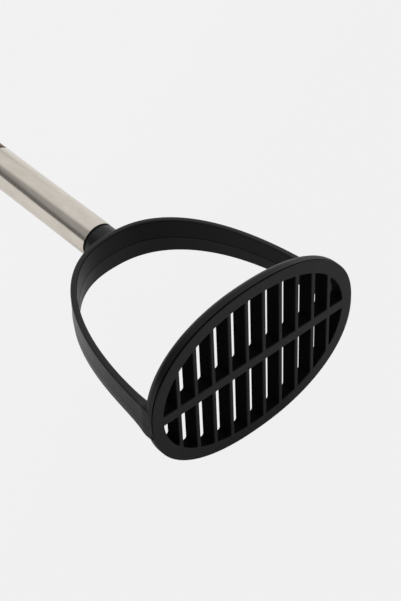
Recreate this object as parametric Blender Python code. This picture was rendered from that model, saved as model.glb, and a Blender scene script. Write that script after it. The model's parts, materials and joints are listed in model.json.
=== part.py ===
"""Potato masher, lying on its side as it rests on a table.

The masher is modelled in its own frame: X along the grate's long axis, Y from the mashing face
along the handle, Z along the grate's short axis. An empty then tips the whole masher about X
until the rim of the grate and the grip both touch z = 0, and centres it over the origin.

The mashing head is one nylon moulding: grate, bow, collar and spigot. A steel tube slides over
the spigot at one end and over the grip's tenon at the other, with a thin seal against each
shoulder. A tie rod down the middle of the tube clamps the stack between two threaded inserts.
"""

import math

import bmesh
import bpy
from mathutils import Matrix, Vector

MM = 0.001
FULL_TURN = 2 * math.pi

# Clearance between two pieces that touch each other on the real object.
TOUCH_GAP = 0.3 * MM

# Mashing grate: a superellipse rim, one rib along X and ten bars across it. The bars and the rib
# are thin at the mashing face and thicken towards the cells' throat.
GRATE_LENGTH = 113.0 * MM
GRATE_WIDTH = 85.0 * MM
GRATE_DEPTH = 6.8 * MM
GRATE_POWER = 2.2
OPENING_POWER = 2.12
RIM_WIDTH = 5.7 * MM
RIM_REAR_RADIUS = 3.7 * MM
RIM_FRONT_INSET = 0.15 * MM
RIM_GROOVE_INSET = 0.65 * MM
RIM_GROOVE_DEPTH = 0.7 * MM
RIM_WALL_START = 1.1 * MM
BAR_COUNT = 10
BAR_PITCH = 9.4 * MM
BAR_WIDTH = 1.7 * MM
RIB_WIDTH = 4.8 * MM
CELL_THROAT = 5.8 * MM
BAR_TAPER = 1.3 * MM
RIB_TAPER = 0.7 * MM

# Bow: a flat strap bent to half a superellipse, wider at the collar than at the grate.
BOW_HALF_SPAN = 54.95 * MM
BOW_HEIGHT = 98.2 * MM
BOW_POWER = 2.29
STRAP_THICKNESS = 3.2 * MM
STRAP_WIDTH_AT_GRATE = 13.6 * MM
STRAP_WIDTH_AT_COLLAR = 19.4 * MM
STRAP_EDGE_CHAMFER = 0.5 * MM
SIDE_FLARE = 2.2 * MM
SIDE_FLARE_LENGTH = 4.0 * MM
OUTER_FLARE = 1.5 * MM
OUTER_FLARE_LENGTH = 6.0 * MM
INNER_FLARE = 0.4 * MM
INNER_FLARE_LENGTH = 1.2 * MM
STRAP_ROOT = 2.0 * MM

# Collar and spigot: the round end of the moulding, with a blind bore for the insert.
COLLAR_RADIUS = 8.9 * MM
COLLAR_START = 96.4 * MM
COLLAR_END = 104.8 * MM
SPIGOT_RADIUS = 7.7 * MM
SPIGOT_LENGTH = 25.0 * MM
SPIGOT_BORE_RADIUS = 3.8 * MM
SPIGOT_BORE_DEPTH = 18.0 * MM
EDGE_CHAMFER = 0.6 * MM

# Steel tube and the thin seals at its two ends.
TUBE_RADIUS = 9.0 * MM
TUBE_WALL = 1.0 * MM
TUBE_LENGTH = 78.5 * MM
TUBE_LIP = 0.3 * MM
SEAL_THICKNESS = 0.6 * MM
SEAL_RADIUS = 8.6 * MM

# Wooden grip: flush with the tube at its shoulder, swelling to the palm, with a rounded end.
GRIP_LENGTH = 105.0 * MM
GRIP_SHOULDER_RADIUS = 8.9 * MM
GRIP_PALM_RADIUS = 12.5 * MM
GRIP_TAIL_RADIUS = 11.3 * MM
GRIP_PALM_PLACE = 0.62
GRIP_END_ROUNDING = 10.0 * MM
TENON_LENGTH = 20.0 * MM
TENON_RADIUS = 7.7 * MM
GRIP_BORE_RADIUS = 4.3 * MM
GRIP_BORE_DEPTH = 26.0 * MM
HANGING_HOLE_RADIUS = 4.0 * MM
HANGING_HOLE_FROM_END = 13.0 * MM

# Tie rod and its two threaded inserts.
ROD_RADIUS = 2.5 * MM
ROD_ENGAGEMENT = 12.0 * MM
INSERT_WALL_CLEARANCE = 0.3 * MM
SPIGOT_INSERT_LENGTH = 14.0 * MM
GRIP_INSERT_LENGTH = 16.0 * MM
INSERT_SETBACK = 2.0 * MM
INSERT_GROOVE_DEPTH = 0.4 * MM

# Mesh density.
OUTLINE_POINTS = 120
CELL_CURVE_POINTS = 6
BOW_STATIONS = 64
REAR_RADIUS_STEPS = 6
GRIP_STATIONS = 24
ROUND_STEPS = 48
SHARP_ANGLE = math.radians(35)
MERGE_DISTANCE = 0.001 * MM

# Stations along the handle's axis that follow from the sizes above.
SPIGOT_END = COLLAR_END + SPIGOT_LENGTH
SEAL_STACK = SEAL_THICKNESS + 2 * TOUCH_GAP
TUBE_START = COLLAR_END + SEAL_STACK
TUBE_END = TUBE_START + TUBE_LENGTH
GRIP_START = TUBE_END + SEAL_STACK
TENON_START = GRIP_START - TENON_LENGTH
GRIP_END = GRIP_START + GRIP_LENGTH

NYLON = ((0.028, 0.028, 0.031, 1.0), 0.55, 0.0)
STEEL = ((0.60, 0.58, 0.55, 1.0), 0.35, 1.0)
BRASS = ((0.75, 0.58, 0.28, 1.0), 0.30, 1.0)
SEAL_RUBBER = ((0.010, 0.010, 0.010, 1.0), 0.80, 0.0)
ACACIA = ((0.22, 0.115, 0.055, 1.0), 0.55, 0.0)


def clear_scene():
    """Removes everything that the startup scene holds."""
    for obj in list(bpy.data.objects):
        bpy.data.objects.remove(obj)


def make_material(name, look):
    """A Principled material from a colour, a roughness and a metallic value."""
    color, roughness, metallic = look
    material = bpy.data.materials.new(name)
    material.use_nodes = True
    shader = material.node_tree.nodes["Principled BSDF"]
    shader.inputs["Base Color"].default_value = color
    shader.inputs["Roughness"].default_value = roughness
    shader.inputs["Metallic"].default_value = metallic
    material.diffuse_color = color
    return material


def add_object(name, bm, look=None):
    """Turns a bmesh into an object. One without a look is a helper that renders nowhere."""
    bmesh.ops.recalc_face_normals(bm, faces=bm.faces)
    mesh = bpy.data.meshes.new(name)
    bm.to_mesh(mesh)
    bm.free()
    mesh.shade_smooth()
    mesh.set_sharp_from_angle(angle=SHARP_ANGLE)
    obj = bpy.data.objects.new(name, mesh)
    bpy.context.scene.collection.objects.link(obj)
    if look is None:
        obj.hide_render = True
        obj.display_type = "WIRE"
    else:
        mesh.materials.append(make_material(name, look))
    return obj


def add_boolean(obj, helper, operation):
    """Joins a helper to the object, or cuts it from it."""
    modifier = obj.modifiers.new(operation.lower(), "BOOLEAN")
    modifier.operation = operation
    modifier.solver = "EXACT"
    modifier.object = helper


def superellipse(half_x, half_z, power, count):
    """Points (x, z) round a superellipse, counter-clockwise from +X."""
    points = []
    for step in range(count):
        angle = FULL_TURN * step / count
        cosine = math.cos(angle)
        sine = math.sin(angle)
        x = math.copysign(half_x * abs(cosine) ** (2 / power), cosine)
        z = math.copysign(half_z * abs(sine) ** (2 / power), sine)
        points.append(Vector((x, z)))
    return points


def inset_outline(points, distance):
    """The outline moved inwards, square to itself, by a distance."""
    moved = []
    for index, point in enumerate(points):
        along = points[(index + 1) % len(points)] - points[index - 1]
        inward = Vector((-along.y, along.x)).normalized()
        moved.append(point + inward * distance)
    return moved


def loft(bm, rings):
    """Skins a list of rings of 3-D points, and caps the first and the last."""
    loops = [[bm.verts.new(point) for point in ring] for ring in rings]
    count = len(loops[0])
    for near, far in zip(loops, loops[1:]):
        for index in range(count):
            after = (index + 1) % count
            bm.faces.new((near[index], near[after], far[after], far[index]))
    bm.faces.new(loops[0])
    bm.faces.new(loops[-1])


def lathe(bm, profile, closed=False):
    """Spins a profile of (y, radius) points about the Y axis."""
    verts = [bm.verts.new((radius, y, 0.0)) for y, radius in profile]
    edges = [bm.edges.new(pair) for pair in zip(verts, verts[1:])]
    if closed:
        edges.append(bm.edges.new((verts[-1], verts[0])))
    bmesh.ops.spin(
        bm,
        geom=verts + edges,
        cent=(0, 0, 0),
        axis=(0, 1, 0),
        angle=FULL_TURN,
        steps=ROUND_STEPS,
        use_merge=True,
    )
    bmesh.ops.remove_doubles(bm, verts=bm.verts, dist=MERGE_DISTANCE)


def rim_section():
    """The rim's outer side as (y, inset) points, from the mashing face to the rear face."""
    section = [
        (0.0, RIM_FRONT_INSET),
        (RIM_GROOVE_DEPTH, RIM_GROOVE_INSET),
        (RIM_WALL_START, 0.0),
    ]
    for step in range(REAR_RADIUS_STEPS + 1):
        angle = math.pi / 2 * step / REAR_RADIUS_STEPS
        y = GRATE_DEPTH - RIM_REAR_RADIUS * (1 - math.sin(angle))
        section.append((y, RIM_REAR_RADIUS * (1 - math.cos(angle))))
    return section


def grate_blank():
    """The grate before its cells are cut."""
    outline = superellipse(GRATE_LENGTH / 2, GRATE_WIDTH / 2, GRATE_POWER, OUTLINE_POINTS)
    rings = []
    for y, inset in rim_section():
        rings.append([(p.x, y, p.y) for p in inset_outline(outline, inset)])
    bm = bmesh.new()
    loft(bm, rings)
    return bm


def opening_height(x):
    """Half the height of the rim's opening at a place along the long axis."""
    reach = min(abs(x) / (GRATE_LENGTH / 2 - RIM_WIDTH), 1.0)
    share = (1 - reach**OPENING_POWER) ** (1 / OPENING_POWER)
    return (GRATE_WIDTH / 2 - RIM_WIDTH) * share


def cell_columns(taper):
    """The left and right side of each column of cells, where bars have this share of their taper."""
    bars = [(index - (BAR_COUNT - 1) / 2) * BAR_PITCH for index in range(BAR_COUNT)]
    half_bar = BAR_WIDTH / 2 + BAR_TAPER * taper
    lefts = [RIM_WIDTH - GRATE_LENGTH / 2] + [bar + half_bar for bar in bars]
    rights = [bar - half_bar for bar in bars] + [GRATE_LENGTH / 2 - RIM_WIDTH]
    return list(zip(lefts, rights))


def cell_outline(column, side, taper):
    """One cell's outline: straight at the rib and the bars, curved along the rim."""
    left, right = cell_columns(taper)[column]
    foot = RIB_WIDTH / 2 + RIB_TAPER * taper
    curve = []
    for step in range(CELL_CURVE_POINTS + 1):
        x = right + (left - right) * step / CELL_CURVE_POINTS
        curve.append((x, max(opening_height(x), foot)))
    if curve[0][1] > foot:
        curve.insert(0, (right, foot))
    if curve[-1][1] > foot:
        curve.append((left, foot))
    return [(x, side * z) for x, z in curve]


def cell_cutters():
    """A tapering prism for each cell, in one helper mesh."""
    bm = bmesh.new()
    stations = ((-GRATE_DEPTH, 0.0), (0.0, 0.0), (CELL_THROAT, 1.0), (2 * GRATE_DEPTH, 1.0))
    for column in range(BAR_COUNT + 1):
        for side in (-1, 1):
            rings = []
            for y, taper in stations:
                rings.append([(x, y, z) for x, z in cell_outline(column, side, taper)])
            loft(bm, rings)
    return bm


def flare(y, reach, length):
    """How far a flare reaches at a height: all of it at the rim, fading away above it."""
    past_rim = max(y - GRATE_DEPTH, 0.0)
    return reach * math.exp(-past_rim / length)


def bow_station(angle):
    """A point on the bow's outer curve and the normal there, both in the XY plane."""
    cosine = math.cos(angle)
    sine = math.sin(angle)
    across = math.copysign(abs(cosine) ** (2 / BOW_POWER), cosine)
    along = abs(sine) ** (2 / BOW_POWER)
    point = Vector((BOW_HALF_SPAN * across, BOW_HEIGHT * along, 0))
    slope_x = math.copysign(abs(across) ** (BOW_POWER - 1), cosine) / BOW_HALF_SPAN
    slope_y = along ** (BOW_POWER - 1) / BOW_HEIGHT
    return point, Vector((slope_x, slope_y, 0)).normalized()


def strap_section(point, outward):
    """The strap's chamfered section: wider towards the collar, and flared out at the rim."""
    share = (point.y / BOW_HEIGHT) ** 2
    half = (STRAP_WIDTH_AT_GRATE + (STRAP_WIDTH_AT_COLLAR - STRAP_WIDTH_AT_GRATE) * share) / 2
    half += flare(point.y, SIDE_FLARE, SIDE_FLARE_LENGTH)
    outer = -flare(point.y, OUTER_FLARE, OUTER_FLARE_LENGTH)
    inner = STRAP_THICKNESS + flare(point.y, INNER_FLARE, INNER_FLARE_LENGTH)
    cut = STRAP_EDGE_CHAMFER
    corners = [
        (outer, half - cut),
        (outer + cut, half),
        (inner - cut, half),
        (inner, half - cut),
        (inner, cut - half),
        (inner - cut, -half),
        (outer + cut, -half),
        (outer, cut - half),
    ]
    return [point - outward * depth + Vector((0, 0, z)) for depth, z in corners]


def bow():
    """The strap from inside one end of the grate, round the bow, to inside the other."""
    first = math.asin((STRAP_ROOT / BOW_HEIGHT) ** (BOW_POWER / 2))
    rings = []
    for step in range(BOW_STATIONS + 1):
        angle = first + (math.pi - 2 * first) * step / BOW_STATIONS
        rings.append(strap_section(*bow_station(angle)))
    bm = bmesh.new()
    loft(bm, rings)
    return bm


def collar_and_spigot():
    """The round end of the moulding, with the blind bore for the insert."""
    profile = [
        (COLLAR_START, 0.0),
        (COLLAR_START, COLLAR_RADIUS),
        (COLLAR_END, COLLAR_RADIUS),
        (COLLAR_END, SPIGOT_RADIUS),
        (SPIGOT_END - EDGE_CHAMFER, SPIGOT_RADIUS),
        (SPIGOT_END, SPIGOT_RADIUS - EDGE_CHAMFER),
        (SPIGOT_END, SPIGOT_BORE_RADIUS),
        (SPIGOT_END - SPIGOT_BORE_DEPTH, SPIGOT_BORE_RADIUS),
        (SPIGOT_END - SPIGOT_BORE_DEPTH, 0.0),
    ]
    bm = bmesh.new()
    lathe(bm, profile)
    return bm


def make_mashing_head():
    """The whole nylon moulding, in one body."""
    head = add_object("mashing_head", grate_blank(), NYLON)
    add_boolean(head, add_object("bow_shape", bow()), "UNION")
    add_boolean(head, add_object("collar_shape", collar_and_spigot()), "UNION")
    add_boolean(head, add_object("cell_cutters", cell_cutters()), "DIFFERENCE")
    return head


def make_handle_tube():
    """The steel tube, with its lips eased on the outside."""
    inner = TUBE_RADIUS - TUBE_WALL
    profile = [
        (TUBE_START, inner),
        (TUBE_START, TUBE_RADIUS - TUBE_LIP),
        (TUBE_START + TUBE_LIP, TUBE_RADIUS),
        (TUBE_END - TUBE_LIP, TUBE_RADIUS),
        (TUBE_END, TUBE_RADIUS - TUBE_LIP),
        (TUBE_END, inner),
    ]
    bm = bmesh.new()
    lathe(bm, profile, closed=True)
    return add_object("handle_tube", bm, STEEL)


def make_seal(name, start, neck_radius):
    """A flat ring that sits a little below the surface on both sides of it."""
    inner = neck_radius + TOUCH_GAP
    end = start + SEAL_THICKNESS
    profile = [(start, inner), (start, SEAL_RADIUS), (end, SEAL_RADIUS), (end, inner)]
    bm = bmesh.new()
    lathe(bm, profile, closed=True)
    return add_object(name, bm, SEAL_RUBBER)


def grip_radius(distance):
    """The turned grip's radius at a distance from its shoulder."""
    place = distance / GRIP_LENGTH
    if place < GRIP_PALM_PLACE:
        swell = math.sin(math.pi / 2 * place / GRIP_PALM_PLACE) ** 2
        radius = GRIP_SHOULDER_RADIUS + (GRIP_PALM_RADIUS - GRIP_SHOULDER_RADIUS) * swell
    else:
        fall = (place - GRIP_PALM_PLACE) / (1 - GRIP_PALM_PLACE)
        radius = GRIP_PALM_RADIUS - (GRIP_PALM_RADIUS - GRIP_TAIL_RADIUS) * fall**2
    into_end = distance - (GRIP_LENGTH - GRIP_END_ROUNDING)
    if into_end > 0:
        radius *= math.sqrt(max(1 - (into_end / GRIP_END_ROUNDING) ** 2, 0.0))
    return radius


def grip_body_profile():
    """The grip's outer side as (y, radius) points, closer together round the end."""
    profile = []
    straight = GRIP_LENGTH - GRIP_END_ROUNDING
    for step in range(GRIP_STATIONS):
        distance = straight * step / GRIP_STATIONS
        profile.append((GRIP_START + distance, grip_radius(distance)))
    rounding_steps = GRIP_STATIONS // 3
    for step in range(rounding_steps + 1):
        distance = straight + GRIP_END_ROUNDING * math.sin(math.pi / 2 * step / rounding_steps)
        profile.append((GRIP_START + distance, grip_radius(distance)))
    return profile


def make_wooden_grip():
    """The turned grip with its tenon, its blind bore and the hole that it hangs by."""
    tenon = [
        (TENON_START + GRIP_BORE_DEPTH, 0.0),
        (TENON_START + GRIP_BORE_DEPTH, GRIP_BORE_RADIUS),
        (TENON_START, GRIP_BORE_RADIUS),
        (TENON_START, TENON_RADIUS - EDGE_CHAMFER),
        (TENON_START + EDGE_CHAMFER, TENON_RADIUS),
        (GRIP_START, TENON_RADIUS),
    ]
    bm = bmesh.new()
    lathe(bm, tenon + grip_body_profile())
    grip = add_object("wooden_grip", bm, ACACIA)
    hole = bmesh.new()
    bmesh.ops.create_cone(
        hole,
        cap_ends=True,
        segments=ROUND_STEPS // 2,
        radius1=HANGING_HOLE_RADIUS,
        radius2=HANGING_HOLE_RADIUS,
        depth=4 * GRIP_PALM_RADIUS,
        matrix=Matrix.Translation((0, GRIP_END - HANGING_HOLE_FROM_END, 0)),
    )
    add_boolean(grip, add_object("hanging_hole_cutter", hole), "DIFFERENCE")
    return grip


def make_insert(name, start, length, bore_radius):
    """A threaded brass insert: a sleeve with one retaining groove round its middle."""
    outer = bore_radius - INSERT_WALL_CLEARANCE
    inner = ROD_RADIUS + TOUCH_GAP
    middle = start + length / 2
    groove = outer - INSERT_GROOVE_DEPTH
    profile = [
        (start, inner),
        (start, outer),
        (middle - 2 * INSERT_GROOVE_DEPTH, outer),
        (middle - INSERT_GROOVE_DEPTH, groove),
        (middle + INSERT_GROOVE_DEPTH, groove),
        (middle + 2 * INSERT_GROOVE_DEPTH, outer),
        (start + length, outer),
        (start + length, inner),
    ]
    bm = bmesh.new()
    lathe(bm, profile, closed=True)
    return add_object(name, bm, BRASS)


def make_tie_rod():
    """The rod that clamps head, tube and grip together."""
    start = SPIGOT_END - ROD_ENGAGEMENT
    end = TENON_START + ROD_ENGAGEMENT
    profile = [
        (start, 0.0),
        (start, ROD_RADIUS - EDGE_CHAMFER),
        (start + EDGE_CHAMFER, ROD_RADIUS),
        (end - EDGE_CHAMFER, ROD_RADIUS),
        (end, ROD_RADIUS - EDGE_CHAMFER),
        (end, 0.0),
    ]
    bm = bmesh.new()
    lathe(bm, profile)
    return add_object("tie_rod", bm, STEEL)


def lowest_point(section, tilt):
    """The lowest height that (y, radius) points reach when the handle tips down by an angle."""
    return min(-y * math.sin(tilt) - radius * math.cos(tilt) for y, radius in section)


def resting_tilt():
    """The angle at which the rim and the grip stand on the same floor."""
    rim = [(y, GRATE_WIDTH / 2 - inset) for y, inset in rim_section()]
    grip = grip_body_profile()
    low = 0.0
    high = math.radians(15)
    for _ in range(50):
        tilt = (low + high) / 2
        if lowest_point(grip, tilt) > lowest_point(rim, tilt):
            low = tilt
        else:
            high = tilt
    return tilt


def lay_on_floor(pieces):
    """Tips the masher to its resting tilt, drops it onto z = 0 and centres it over the origin."""
    masher = bpy.data.objects.new("masher", None)
    bpy.context.scene.collection.objects.link(masher)
    for piece in pieces:
        piece.parent = masher
    tip = Matrix.Rotation(-resting_tilt(), 4, "X")
    points = [tip @ vert.co for piece in pieces for vert in piece.data.vertices]
    lowest = Vector([min(point[axis] for point in points) for axis in range(3)])
    highest = Vector([max(point[axis] for point in points) for axis in range(3)])
    middle = (lowest + highest) / 2
    masher.rotation_euler = (-resting_tilt(), 0, 0)
    masher.location = (-middle.x, -middle.y, -lowest.z)
    return masher


def main():
    clear_scene()
    pieces = [
        make_mashing_head(),
        make_seal("collar_seal", COLLAR_END + TOUCH_GAP, SPIGOT_RADIUS),
        make_handle_tube(),
        make_seal("grip_seal", TUBE_END + TOUCH_GAP, TENON_RADIUS),
        make_wooden_grip(),
        make_insert(
            "spigot_insert",
            SPIGOT_END - INSERT_SETBACK - SPIGOT_INSERT_LENGTH,
            SPIGOT_INSERT_LENGTH,
            SPIGOT_BORE_RADIUS,
        ),
        make_insert(
            "grip_insert",
            TENON_START + INSERT_SETBACK,
            GRIP_INSERT_LENGTH,
            GRIP_BORE_RADIUS,
        ),
        make_tie_rod(),
    ]
    helpers = [obj for obj in bpy.data.objects if obj.hide_render]
    masher = lay_on_floor(pieces)
    for helper in helpers:
        helper.parent = masher


main()
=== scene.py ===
"""Potato masher lying on its side: the visible surfaces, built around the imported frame.

The frame gives the masher's place and lean through its mashing_face mount. Every piece below is
modelled in the masher's own frame, like the frame itself: X along the grate's long axis, Y from
the mashing face along the handle, Z along the grate's short axis. One matrix then lays it down.
"""

import json
import math

import bmesh
import bpy
from mathutils import Matrix, Vector


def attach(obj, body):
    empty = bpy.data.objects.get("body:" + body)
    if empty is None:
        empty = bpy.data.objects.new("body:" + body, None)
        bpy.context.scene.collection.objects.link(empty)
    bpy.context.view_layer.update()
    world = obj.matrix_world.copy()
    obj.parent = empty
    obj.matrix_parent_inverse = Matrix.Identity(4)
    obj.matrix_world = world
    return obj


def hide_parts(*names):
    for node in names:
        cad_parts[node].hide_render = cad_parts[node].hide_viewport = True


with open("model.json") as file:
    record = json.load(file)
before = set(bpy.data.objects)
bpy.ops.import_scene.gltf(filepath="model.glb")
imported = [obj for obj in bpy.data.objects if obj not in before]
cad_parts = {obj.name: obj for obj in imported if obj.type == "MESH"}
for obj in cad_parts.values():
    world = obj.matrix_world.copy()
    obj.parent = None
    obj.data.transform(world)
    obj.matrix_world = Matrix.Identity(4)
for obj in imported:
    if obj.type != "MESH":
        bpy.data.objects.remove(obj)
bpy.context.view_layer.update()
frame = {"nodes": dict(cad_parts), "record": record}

MM = 0.001
FULL_TURN = 2 * math.pi

# Mashing grate. Its width is a hair under the frame's, to keep its rounded edges in the same box.
GRATE_LENGTH = 113.0 * MM
GRATE_WIDTH = 84.88 * MM
GRATE_DEPTH = 6.8 * MM
GRATE_POWER = 2.2
OPENING_POWER = 2.12
RIM_WIDTH = 5.7 * MM
RIM_REAR_RADIUS = 3.7 * MM
RIM_FRONT_RADIUS = 0.2 * MM
RIM_LIP_INSET = 0.05 * MM
GROOVE_INSET = 0.65 * MM
GROOVE_STATIONS = (0.35 * MM, 0.5 * MM, 0.85 * MM, 1.05 * MM)
BAR_COUNT = 10
BAR_PITCH = 9.4 * MM
BAR_WIDTH = 1.7 * MM
RIB_WIDTH = 4.8 * MM

# Cells: they narrow from the mashing face to their throat, and open again over a rounded edge.
BAR_TAPER = 1.3 * MM
RIB_TAPER = 0.7 * MM
RIM_TAPER = -0.2 * MM
FRONT_CORNER_RADIUS = 0.4 * MM
THROAT_CORNER_RADIUS = 1.2 * MM
FRONT_EDGE_RADIUS = 0.25 * MM
REAR_EDGE_RADIUS = 1.0 * MM
CELL_THROAT = GRATE_DEPTH - REAR_EDGE_RADIUS

# Bow: a flat strap with slightly tapered faces, which widens towards the collar. Its flares are
# greatest at the rim and fall away over their lengths. The seams are placed along Z.
BOW_HALF_SPAN = 54.95 * MM
BOW_HEIGHT = 98.2 * MM
BOW_POWER = 2.29
STRAP_THICKNESS = 3.2 * MM
STRAP_DRAFT = 0.15 * MM
STRAP_CORNER_RADIUS = 0.9 * MM
STRAP_WIDTH_AT_GRATE = 13.6 * MM
STRAP_WIDTH_AT_COLLAR = 19.4 * MM
STRAP_WIDENING_POWER = 2
STRAP_ROOT = 2.0 * MM
UPPER_FLARE = 0.6 * MM
LOWER_FLARE = 2.4 * MM
SIDE_FLARE_LENGTH = 4.5 * MM
OUTER_FLARE = 1.4 * MM
OUTER_FLARE_LENGTH = 14.0 * MM
INNER_FLARE = 0.4 * MM
INNER_FLARE_LENGTH = 1.2 * MM
SEAM_HEIGHT = 0.12 * MM
SEAM_HALF_WIDTH = 0.28 * MM
INNER_SEAM_PLACE = -0.7 * MM
OUTER_SEAM_PLACE = -3.0 * MM

# Collar and spigot.
COLLAR_RADIUS = 8.9 * MM
COLLAR_START = 96.4 * MM
COLLAR_END = 104.8 * MM
COLLAR_FILLET = 0.8 * MM
SPIGOT_RADIUS = 7.7 * MM
SPIGOT_LENGTH = 25.0 * MM
SPIGOT_BORE_RADIUS = 3.8 * MM
SPIGOT_BORE_DEPTH = 18.0 * MM
EDGE_RADIUS = 0.5 * MM

# Steel tube and seals.
TOUCH_GAP = 0.3 * MM
TUBE_RADIUS = 9.0 * MM
TUBE_WALL = 1.0 * MM
TUBE_LENGTH = 78.5 * MM
TUBE_LIP = 0.3 * MM
SEAL_THICKNESS = 0.6 * MM
SEAL_RADIUS = 8.6 * MM
SEAL_EDGE_RADIUS = SEAL_THICKNESS / 4

# Wooden grip. Its length is a hair under the frame's, to keep its end in the same box.
GRIP_LENGTH = 104.95 * MM
GRIP_SHOULDER_RADIUS = 8.9 * MM
GRIP_PALM_RADIUS = 12.5 * MM
GRIP_TAIL_RADIUS = 11.3 * MM
GRIP_PALM_PLACE = 0.62
GRIP_END_ROUNDING = 10.0 * MM
TENON_LENGTH = 20.0 * MM
TENON_RADIUS = 7.7 * MM
GRIP_BORE_RADIUS = 4.3 * MM
GRIP_BORE_DEPTH = 26.0 * MM
HANGING_HOLE_RADIUS = 4.0 * MM
HANGING_HOLE_FROM_END = 13.0 * MM
HOLE_EDGE_RADIUS = 1.2 * MM
HOLE_EDGE_SINK = HOLE_EDGE_RADIUS / 4
HOLE_EDGE_TURN = math.radians(70)

# Meshing and shading.
OUTLINE_POINTS = 240
CELL_CURVE_POINTS = 14
ARC_STEPS = 5
BISECTION_STEPS = 30
BOW_STATIONS = 220
REAR_RADIUS_STEPS = 10
GRIP_STATIONS = 72
GRIP_END_STEPS = GRIP_STATIONS // 3
ROUND_STEPS = 128
SHARP_ANGLE = math.radians(40)
FLAT_FACE_WEIGHT = 100
MERGE_DISTANCE = 0.001 * MM

# Stations along the handle.
SPIGOT_END = COLLAR_END + SPIGOT_LENGTH
SEAL_STACK = SEAL_THICKNESS + 2 * TOUCH_GAP
TUBE_START = COLLAR_END + SEAL_STACK
TUBE_END = TUBE_START + TUBE_LENGTH
GRIP_START = TUBE_END + SEAL_STACK
TENON_START = GRIP_START - TENON_LENGTH
GRIP_END = GRIP_START + GRIP_LENGTH

# Camera: its direction from the masher, and the place it looks at, from the middle of the
# mashing face, measured across and up its own picture.
CAMERA_AZIMUTH = math.radians(-43.77)
CAMERA_ELEVATION = math.radians(47.76)
CAMERA_ROLL = math.radians(3.26)
CAMERA_DISTANCE = 654.0 * MM
CAMERA_AIM_ACROSS = -23.37 * MM
CAMERA_AIM_UP = 25.26 * MM
CAMERA_LENS = 93.53
CAMERA_CLIP_RATIO = 50

# Materials. Colours are linear values. A SIZE is the length of one noise feature along X, Y and Z,
# a SWIRL bends the noise, a RANGE is what is stretched over the whole effect, and a RELIEF is the
# height of a bump.
MOST_OF_NOISE = (0.3, 0.7)

NYLON_DARK = (0.0030, 0.0028, 0.0036)
NYLON_LIGHT = (0.0060, 0.0057, 0.0068)
NYLON_SPECULAR = 0.36
NYLON_ROUGHNESS = (0.30, 0.38)
NYLON_CLOUD_SIZE = (14 * MM, 14 * MM, 14 * MM)
NYLON_GRAIN_SIZE = (0.35 * MM, 0.35 * MM, 0.35 * MM)
NYLON_GRAIN_RELIEF = 0.012 * MM
WIPING_SIZE = (9 * MM, 0.5 * MM, 0.5 * MM)
WIPING_SWIRL = 0.6
WIPING_RANGE = (0.55, 0.8)
WIPING_GLOSS = 0.07
WIPING_RELIEF = 0.006 * MM

# Painted shade and light on the moulding, as less or more shine: painted shade in the cells, on
# the rim's outer wall and on the bow above its inner seam's height, a painted dark line at that
# height, and painted light below it. A SHINE multiplies the nylon's own.
SHADED_CELL_SPECULAR = 0.05
CELL_ADDED_ROUGHNESS = 0.45
CELL_SHADE_ZONE_MARGIN = 0.9 * MM
CELL_SHADE_ZONE_RANGE = (0.99, 1.01)
WALL_SHADE_ZONE_RANGE = (0.5 * FRONT_EDGE_RADIUS, 3 * FRONT_EDGE_RADIUS)
BOW_SHADING_ZONE_RANGE = (GRATE_DEPTH + 1 * MM, GRATE_DEPTH + 5 * MM)
RIM_WALL_SHADE_SHINE = 0.6
UPPER_HALF_SHADE_SHINE = 0.88
LOWER_HALF_LIGHT_SHINE = 1.1
SEAM_SHADE_SHINE = 0.3
SEAM_SHADE_ZONE_RANGE = (0.5 * SEAM_HALF_WIDTH, 1.5 * SEAM_HALF_WIDTH)

STEEL_DARK = (0.60, 0.545, 0.475)
STEEL_LIGHT = (0.70, 0.655, 0.595)
STEEL_ROUGHNESS = (0.12, 0.2)
STREAK_SIZE = (0.35 * MM, 16 * MM, 0.35 * MM)
STREAK_TINT = 0.3
STREAK_RELIEF = 0.0006 * MM
BLOTCH_SIZE = (5 * MM, 11 * MM, 5 * MM)
BLOTCH_SWIRL = 0.4
BLOTCH_TINT = 0.7
BLOTCH_RELIEF = 0.022 * MM

RUBBER_DARK = (0.006, 0.006, 0.006)
RUBBER_LIGHT = (0.014, 0.013, 0.013)
RUBBER_ROUGHNESS = (0.7, 0.9)
BLOOM_SIZE = (1.5 * MM, 1.5 * MM, 1.5 * MM)
BLOOM_RELIEF = 0.03 * MM

WOOD_DARK = (0.085, 0.042, 0.020)
WOOD_LIGHT = (0.27, 0.155, 0.080)
WOOD_ROUGHNESS = (0.42, 0.56)
BAND_WIDTH = 3.5 * MM
BAND_SWAY = 12 * MM
BAND_SWAY_SIZE = (9 * MM, 70 * MM, 9 * MM)
BAND_TINT = 0.62
FIBRE_SIZE = (0.5 * MM, 14 * MM, 0.5 * MM)
FIBRE_RANGE = (0.25, 0.75)
FIBRE_TINT = 0.38
FIBRE_RELIEF = 0.02 * MM
PORE_COLOR = (0.030, 0.016, 0.009)
PORE_SIZE = (0.22 * MM, 2.6 * MM, 0.22 * MM)
PORE_RANGE = (0.30, 0.38)
PORE_TINT = 0.55
PORE_RELIEF = 0.05 * MM

BRASS_DARK = (0.62, 0.44, 0.17)
BRASS_LIGHT = (0.80, 0.62, 0.30)
ROD_DARK = (0.42, 0.42, 0.42)
ROD_LIGHT = (0.60, 0.60, 0.59)
TURNED_ROUGHNESS = (0.24, 0.4)
TURNING_SIZE = (60 * MM, 0.18 * MM, 60 * MM)
TURNING_RELIEF = 0.01 * MM
TARNISH_SIZE = (3 * MM, 3 * MM, 3 * MM)

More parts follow.
